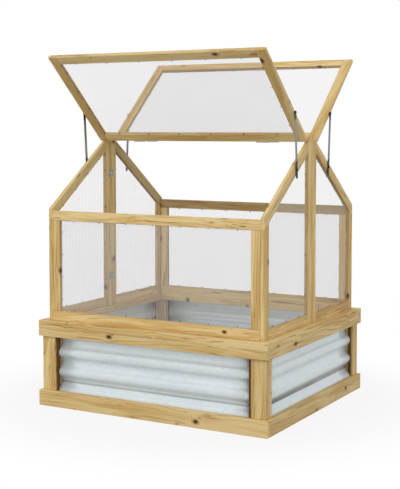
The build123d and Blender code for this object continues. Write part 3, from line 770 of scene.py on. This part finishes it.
def make_gable_half(side_name, side, face_name, face):
    """Eave stile, centre stile, sill and rafter of half a gable."""
    settings = bpy.context.scene.greenhouse_timber
    half = f"{side_name}_gable_{face_name}"
    width = settings.face
    rise = tan(settings.roof_slope)
    low, high = GABLE_LOW, GABLE_HIGH
    eave_y = high.y
    base, top = low.z, high.z
    eave = top - (eave_y - width) * rise
    drop = width / cos(settings.roof_slope)
    soffit = Vector((0.0, face * eave_y, eave - drop))
    up = Vector((0.0, face * sin(settings.roof_slope), cos(settings.roof_slope)))
    x0, x1 = sorted((side * low.x, side * high.x))

    def between(y0, y1, z0, z1):
        ya, yb = sorted((face * y0, face * y1))
        return box_board((x0, ya, z0), (x1, yb, z1))

    def finish(bm, name, place):
        finish_timber(bm, f"{half}_{name}", place, HOUSE, f"{half}_frame", f"{half}_pane")

    bm, place = between(eave_y - width, eave_y, base, top)
    saw(bm, soffit, up)
    finish(bm, "eave_stile", place)
    bm, place = between(0.0, width, base, top)
    finish(bm, "centre_stile", place)
    bm, place = between(width, eave_y - width, base, base + width)
    finish(bm, "sill", place)

    # The rafter is cut from a longer length, plumb at both ends
    along = Vector((0.0, -face * cos(settings.roof_slope), sin(settings.roof_slope)))
    uncut = (eave_y - width) / cos(settings.roof_slope) + 4 * width
    middle_y = (eave_y + width) / 2
    middle_z = eave + (eave_y - middle_y) * rise
    centre = Vector(((x0 + x1) / 2, face * middle_y, middle_z)) - up * width / 2
    place = axes_place(centre, along, up, Vector((1.0, 0.0, 0.0)))
    bm = new_board((uncut, width, x1 - x0), place)
    saw(bm, Vector((0.0, face * eave_y, eave)), Vector((0.0, face, 0.0)))
    saw(bm, Vector((0.0, face * width, top)), Vector((0.0, -face, 0.0)))
    finish(bm, "rafter", place)


def make_lid(lid, face):
    """Four timbers about the hinge axis, at the angle at which the lid stands open."""
    timber = bpy.context.scene.greenhouse_timber
    settings = bpy.context.scene.greenhouse_lid
    out = Vector((0.0, face * cos(settings.open_angle), sin(settings.open_angle)))
    up = Vector((0.0, -face * sin(settings.open_angle), cos(settings.open_angle)))
    ridge = Vector((1.0, 0.0, 0.0))
    axis = Vector((0.0, -face * HINGE[1], HINGE[2]))
    top = timber.thickness - settings.drop
    reach = (LID_HIGH.z - HINGE[2] - top * cos(settings.open_angle)) / sin(settings.open_angle)
    half = LID_HIGH.x
    width = timber.face
    start = settings.end_gap
    lift = up * (top - timber.thickness / 2)

    def board(name, x0, x1, s0, s1):
        centre = axis + lift + ridge * (x0 + x1) / 2 + out * (s0 + s1) / 2
        long_x = x1 - x0 > s1 - s0
        columns = (ridge, out, up) if long_x else (out, ridge, up)
        size = sorted((x1 - x0, s1 - s0), reverse=True)
        place = axes_place(centre, *columns)
        node = f"{lid}_lid_{name}"
        bm = new_board((*size, timber.thickness), place)
        finish_timber(bm, node + "_timber", place, f"{lid}_lid", node, f"{lid}_lid_pane")

    board("hinge_rail", width - half, half - width, start + settings.leaf_proud, start + width)
    board("eave_rail", width - half, half - width, reach - width, reach)
    board("left_rail", -half, width - half, start, reach)
    board("right_rail", half - width, half, start, reach)


# Sheets


def wave_offset(height):
    """How far the corrugation stands out from its middle at a height: a chain of arcs."""
    settings = bpy.context.scene.greenhouse_sheet
    depth = SHEET_HIGH.y - SHEET_LOW.y
    swing = depth / 2 - settings.thickness / 2
    half_chord = settings.wave_pitch / 4
    radius = (half_chord**2 + swing**2) / (2 * swing)
    steps = (height - settings.crest_height) / (2 * half_chord)
    nearest = round(steps)
    away = (steps - nearest) * 2 * half_chord
    bulge = sqrt(radius**2 - away**2) - (radius - swing)
    return bulge if nearest % 2 == 0 else -bulge


def turned(bm, degrees, axis):
    bmesh.ops.rotate(bm, cent=(0, 0, 0), matrix=Matrix.Rotation(radians(degrees), 3, axis), verts=bm.verts)


def make_sheet(node, turn):
    """A sheet rolled into level waves, as one skin that is given its thickness afterwards."""
    settings = bpy.context.scene.greenhouse_sheet
    low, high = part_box(node)
    middle = (low + high) / 2
    lengthwise = abs(turn) % 180 == 0
    run = high.x - low.x if lengthwise else high.y - low.y
    distance = abs(middle.y) if lengthwise else abs(middle.x)
    bm = bmesh.new()
    bmesh.ops.create_grid(bm, x_segments=SHEET_COLUMNS, y_segments=SHEET_ROWS, size=0.5)
    bmesh.ops.scale(bm, vec=(run, high.z - low.z, 1.0), verts=bm.verts)
    turned(bm, 90, "X")
    bmesh.ops.translate(bm, vec=(0.0, -distance, middle.z), verts=bm.verts)
    for vert in bm.verts:
        vert.co.y -= wave_offset(vert.co.z)
    turned(bm, turn, "Z")
    for face in bm.faces:
        face.smooth = True
    finish = "galvanised_long_sheet" if lengthwise else "galvanised_side_sheet"
    # The side sheets get a wider, stronger band of painted shade than the front and back sheets
    hollow_shading = (settings.splash, settings.shade_share) if lengthwise else (settings.side_shade_reach, settings.side_shade_share)
    zinc = once(finish, galvanised, settings, finish, *hollow_shading)
    piece = finish_piece(bm, node + "_rolled", zinc, HOUSE, [node])
    wall = piece.modifiers.new("sheet thickness", "SOLIDIFY")
    wall.thickness = settings.thickness
    wall.offset = 0.0


def make_end_strips(name, turn):
    """Strips that fill the gaps between a sheet's two ends and the posts beside it, put where there is only
    shade and coloured dark as painted shade of those recesses.
    """
    settings = bpy.context.scene.greenhouse_sheet
    low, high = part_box(f"bed_sheet_{name}")
    post_low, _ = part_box("bed_post_back_right")
    lengthwise = abs(turn) % 180 == 0
    end = high.x if lengthwise else high.y
    post = post_low.x if lengthwise else post_low.y
    outer = max(abs(low.y), abs(high.y)) if lengthwise else max(abs(low.x), abs(high.x))
    gap_shade = once("gap_shade_fir", gap_shade_fir, bpy.context.scene.greenhouse_timber)
    for side, way in (("first", -1), ("second", 1)):
        x0, x1 = sorted((way * end, way * post))
        bm, _ = box_board((x0, -outer, low.z), (x1, settings.seal_depth - outer, high.z))
        round_edges(bm, settings.thickness)
        turned(bm, turn, "Z")
        finish_piece(bm, f"bed_{name}_{side}_end_strip", gap_shade, HOUSE, [])


def dress(node, material):
    """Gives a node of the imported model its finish."""
    slots = frame["nodes"][node].data.materials
    slots.clear()
    slots.append(material)


# Operators, one for each group of pieces


class GREENHOUSE_OT_bed_timbers(bpy.types.Operator):
    """Make the bed's rails, posts and cap boards"""

    bl_idname = "greenhouse.bed_timbers"
    bl_label = "Bed timbers"

    def execute(self, context):
        for level in ("bottom", "top"):
            for side in ("front", "back", "left", "right"):
                make_box_timber(f"bed_{level}_rail_{side}")
        for face in ("front", "back"):
            for side in ("left", "right"):
                make_post(f"bed_post_{face}_{side}")
        make_cap()
        return {"FINISHED"}


class GREENHOUSE_OT_sheets(bpy.types.Operator):
    """Make the four corrugated sheets of the bed and the strips at their ends"""

    bl_idname = "greenhouse.sheets"
    bl_label = "Corrugated sheets"

    def execute(self, context):
        for name, turn in (("front", 0), ("right", 90), ("back", 180), ("left", -90)):
            make_sheet(f"bed_sheet_{name}", turn)
            make_end_strips(name, turn)
        return {"FINISHED"}


class GREENHOUSE_OT_walls(bpy.types.Operator):
    """Make the timbers of the front and back walls and the ridge board"""

    bl_idname = "greenhouse.walls"
    bl_label = "Walls and ridge"

    def execute(self, context):
        for wall in ("front", "back"):
            for timber in ("bottom_rail", "top_rail", "left_stile", "right_stile"):
                make_box_timber(f"{wall}_wall_{timber}", f"{wall}_wall_pane")
        make_box_timber("ridge_board", inset=context.scene.greenhouse_lid.leaf_proud)
        return {"FINISHED"}


class GREENHOUSE_OT_gables(bpy.types.Operator):
    """Make the timbers of the two gables"""

    bl_idname = "greenhouse.gables"
    bl_label = "Gables"

    def execute(self, context):
        for side_name, side in (("left", -1), ("right", 1)):
            for face_name, face in (("front", -1), ("back", 1)):
                make_gable_half(side_name, side, face_name, face)
        return {"FINISHED"}


class GREENHOUSE_OT_lids(bpy.types.Operator):
    """Make the timbers of the two roof lids"""

    bl_idname = "greenhouse.lids"
    bl_label = "Roof lids"

    def execute(self, context):
        make_lid("front", -1)
        make_lid("rear", 1)
        return {"FINISHED"}


class GREENHOUSE_OT_panes(bpy.types.Operator):
    """Give every pane its clear fluted finish"""

    bl_idname = "greenhouse.panes"
    bl_label = "Panes"

    def execute(self, context):
        settings = context.scene.greenhouse_glazing
        long_ribs = settings.flute_pitch, settings.haze, settings.rib_haze
        gable_ribs = settings.gable_flute_pitch, settings.gable_haze, settings.gable_rib_haze
        across_x = fluted_pane(settings, "fluted_pane_long", "X", *long_ribs)
        across_y = fluted_pane(settings, "fluted_pane_gable", "Y", *gable_ribs)
        for node in frame["nodes"]:
            if node.endswith("_pane"):
                dress(node, across_y if "gable" in node else across_x)
        return {"FINISHED"}


class GREENHOUSE_OT_fittings(bpy.types.Operator):
    """Give the screws, pins, plates, hinges and pegs their finish"""

    bl_idname = "greenhouse.fittings"
    bl_label = "Fittings"

    def execute(self, context):
        settings = context.scene.greenhouse_steel
        plated = plated_steel("zinc_plate", settings.bright, settings.dull)
        hinge = plated_steel("hinge_zinc_plate", settings.hinge, settings.hinge_dull)
        dark = dark_pins(settings, "dark_pins")
        for node in ("gable_joining_plates", "bed_screws"):
            dress(node, plated)
        for node in ("ridge_hinge_leaves", "hinge_pins"):
            dress(node, hinge)
        for lid in ("front", "rear"):
            dress(f"{lid}_lid_hinge_leaves", hinge)
            dress(f"{lid}_lid_fasteners", dark)
        dress("stay_pegs", dark)
        dress("house_fasteners", dark_pins(settings, "house_pins", plated=True))
        return {"FINISHED"}


class GREENHOUSE_OT_stays(bpy.types.Operator):
    """Give the four stays their finish"""

    bl_idname = "greenhouse.stays"
    bl_label = "Stays"

    def execute(self, context):
        low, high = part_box("front_right_stay")
        steel = stay_steel(context.scene.greenhouse_steel, low.z, high.z)
        for face in ("front", "rear"):
            for side in ("left", "right"):
                dress(f"{face}_{side}_stay", steel)
        return {"FINISHED"}


def seen_directly(tree):
    """1 where the camera, a mirror-like surface or clear sheet looks at the studio, otherwise 0."""
    path = tree.nodes.new("ShaderNodeLightPath")
    mirror = calc(tree, "MAXIMUM", path.outputs["Is Glossy Ray"], path.outputs["Is Transmission Ray"])
    return calc(tree, "MAXIMUM", path.outputs["Is Camera Ray"], mirror)


def make_floor(settings):
    bm = bmesh.new()
    bmesh.ops.create_grid(bm, x_segments=1, y_segments=1, size=settings.floor_half)
    mesh = bpy.data.meshes.new("studio_floor")
    bm.to_mesh(mesh)
    bm.free()
    floor = bpy.data.objects.new("studio_floor", mesh)
    bpy.context.scene.collection.objects.link(floor)
    material = bpy.data.materials.new("studio_floor")
    material.use_nodes = True
    tree = material.node_tree
    tree.nodes.clear()
    output = tree.nodes.new("ShaderNodeOutputMaterial")
    matt = tree.nodes.new("ShaderNodeBsdfDiffuse")
    matt.inputs["Color"].default_value = linear(settings.floor)
    white = tree.nodes.new("ShaderNodeEmission")
    reach = tree.nodes.new("ShaderNodeVectorMath")
    reach.operation = "LENGTH"
    tree.links.new(object_place(tree), reach.inputs[0])
    edges = (settings.shadow_near, settings.shadow_far)
    share_white = span(tree, reach.outputs["Value"], *edges, settings.shadow_white, 1.0)
    shader_mix(tree, calc(tree, "MULTIPLY", seen_directly(tree), share_white), matt, white, output)
    mesh.materials.append(material)


def make_world(settings):
    world = bpy.data.worlds.new("studio")
    bpy.context.scene.world = world
    world.use_nodes = True
    tree = world.node_tree
    tree.nodes.clear()
    output = tree.nodes.new("ShaderNodeOutputWorld")
    even, white = [tree.nodes.new("ShaderNodeBackground") for _ in range(2)]
    for light in (even, white):
        light.inputs["Color"].default_value = WHITE
    even.inputs["Strength"].default_value = settings.ambient
    shader_mix(tree, seen_directly(tree), even, white, output)


def make_lamp(name, place, size, power):
    lamp = bpy.data.lights.new(name, "AREA")
    lamp.shape = "DISK"
    lamp.size = size
    lamp.energy = power
    holder = bpy.data.objects.new(name, lamp)
    holder.location = place
    holder.rotation_euler = (Vector(LAMP_AIM) - Vector(place)).to_track_quat("-Z", "Y").to_euler()
    holder.visible_glossy = False
    bpy.context.scene.collection.objects.link(holder)


def make_camera(settings):
    camera = bpy.data.cameras.new("studio_camera")
    camera.sensor_width = 36.0
    camera.lens = settings.camera_lens
    camera.shift_y = settings.camera_shift
    camera.clip_end = 100.0
    holder = bpy.data.objects.new("studio_camera", camera)
    holder.location = (settings.camera_x, settings.camera_y, settings.camera_z)
    holder.rotation_euler = (pi / 2 - settings.camera_pitch, 0.0, settings.camera_yaw)
    bpy.context.scene.collection.objects.link(holder)
    bpy.context.scene.camera = holder


class GREENHOUSE_OT_stage(bpy.types.Operator):
    """Set up the white floor, the soft light and the camera"""

    bl_idname = "greenhouse.stage"
    bl_label = "Studio"

    def execute(self, context):
        settings = context.scene.greenhouse_studio
        context.scene.view_settings.view_transform = "Standard"
        make_floor(settings)
        make_world(settings)
        make_lamp("key_lamp", KEY_PLACE, settings.key_size, settings.key)
        make_lamp("fill_lamp", FILL_PLACE, settings.fill_size, settings.fill)
        make_camera(settings)
        return {"FINISHED"}


class GREENHOUSE_PT_panel(bpy.types.Panel):
    """Lists the greenhouse's pieces and settings"""

    bl_idname = "GREENHOUSE_PT_panel"
    bl_label = "Flower bed greenhouse"
    bl_space_type = "VIEW_3D"
    bl_region_type = "UI"
    bl_category = "Greenhouse"

    def draw(self, context):
        for group, steps in STEPS:
            box = self.layout.box()
            settings = getattr(context.scene, group)
            for name in settings.bl_rna.properties.keys():
                if name not in ("rna_type", "name"):
                    box.prop(settings, name)
            for step in steps:
                box.operator(step.bl_idname)


GROUPS = (
    ("greenhouse_timber", TimberSettings),
    ("greenhouse_lid", LidSettings),
    ("greenhouse_sheet", SheetSettings),
    ("greenhouse_glazing", GlazingSettings),
    ("greenhouse_steel", SteelSettings),
    ("greenhouse_studio", StudioSettings),
)

STEPS = (
    ("greenhouse_timber", (GREENHOUSE_OT_bed_timbers, GREENHOUSE_OT_walls, GREENHOUSE_OT_gables)),
    ("greenhouse_lid", (GREENHOUSE_OT_lids,)),
    ("greenhouse_sheet", (GREENHOUSE_OT_sheets,)),
    ("greenhouse_glazing", (GREENHOUSE_OT_panes,)),
    ("greenhouse_steel", (GREENHOUSE_OT_fittings, GREENHOUSE_OT_stays)),
    ("greenhouse_studio", (GREENHOUSE_OT_stage,)),
)


def operators():
    return [step for _, steps in STEPS for step in steps]


def register():
    for name, group in GROUPS:
        bpy.utils.register_class(group)
        setattr(bpy.types.Scene, name, PointerProperty(type=group))
    for operator in operators():
        bpy.utils.register_class(operator)
    bpy.utils.register_class(GREENHOUSE_PT_panel)


def unregister():
    bpy.utils.unregister_class(GREENHOUSE_PT_panel)
    for operator in reversed(operators()):
        bpy.utils.unregister_class(operator)
    for name, group in reversed(GROUPS):
        delattr(bpy.types.Scene, name)
        bpy.utils.unregister_class(group)


def main():
    register()
    for operator in operators():
        group, step = operator.bl_idname.split(".")
        getattr(getattr(bpy.ops, group), step)()


if __name__ == "__main__":
    main()
